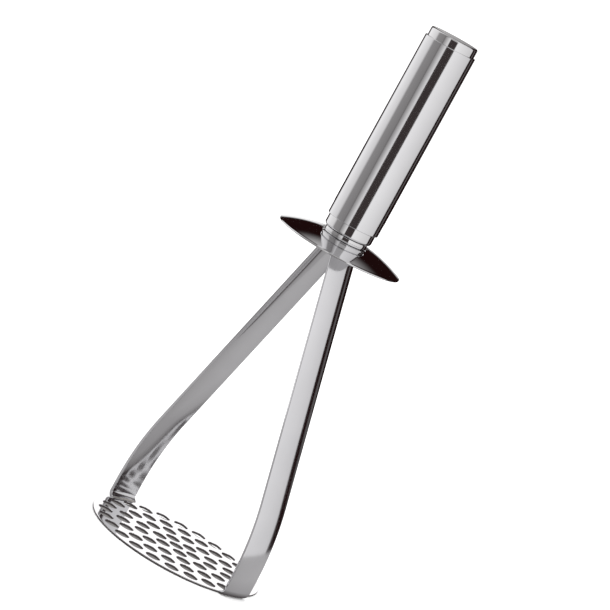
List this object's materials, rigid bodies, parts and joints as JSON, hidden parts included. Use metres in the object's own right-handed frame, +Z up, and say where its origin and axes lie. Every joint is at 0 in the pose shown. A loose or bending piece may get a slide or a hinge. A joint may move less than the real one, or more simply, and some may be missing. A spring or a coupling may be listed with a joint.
{
  "type": "press-plate potato ricer",
  "caption": "Upright hand ricer in polished steel: a perforated round press plate held by arched side legs under a domed guard plate and a round tube handle.",
  "frame": {"origin": "centre of the press plate's flat underside, on the surface it rests on", "axes": "+Z up along the handle's axis; +X from the left leg to the right leg; +Y from the front of the tool to its back, through the open side between the legs"},
  "size_m": [0.0936, 0.087, 0.27],
  "materials": {
    "polished_steel": "mirror-polished stainless steel",
    "leg_steel": "polished stainless strip",
    "sleeve_steel": "polished stainless tube",
    "weld_metal": "dressed weld bead",
    "plain_steel": "as-machined steel",
    "seal_rubber": "matte"
  },
  "bodies": {
    "root": {"press_plate": "polished_steel", "leg_left": "leg_steel", "leg_right": "leg_steel", "foot_weld_left": "weld_metal", "foot_weld_right": "weld_metal", "neck_weld_left": "weld_metal", "neck_weld_right": "weld_metal", "neck_stud": "plain_steel", "guard_plate": "polished_steel", "guard_collar": "polished_steel", "lower_ferrule": "polished_steel", "ferrule_seal_ring": "seal_rubber", "stud_washer": "plain_steel", "stud_nut": "plain_steel", "handle_sleeve": "sleeve_steel", "cap_seal_ring": "seal_rubber", "end_cap": "polished_steel"}
  },
  "joints": []
}
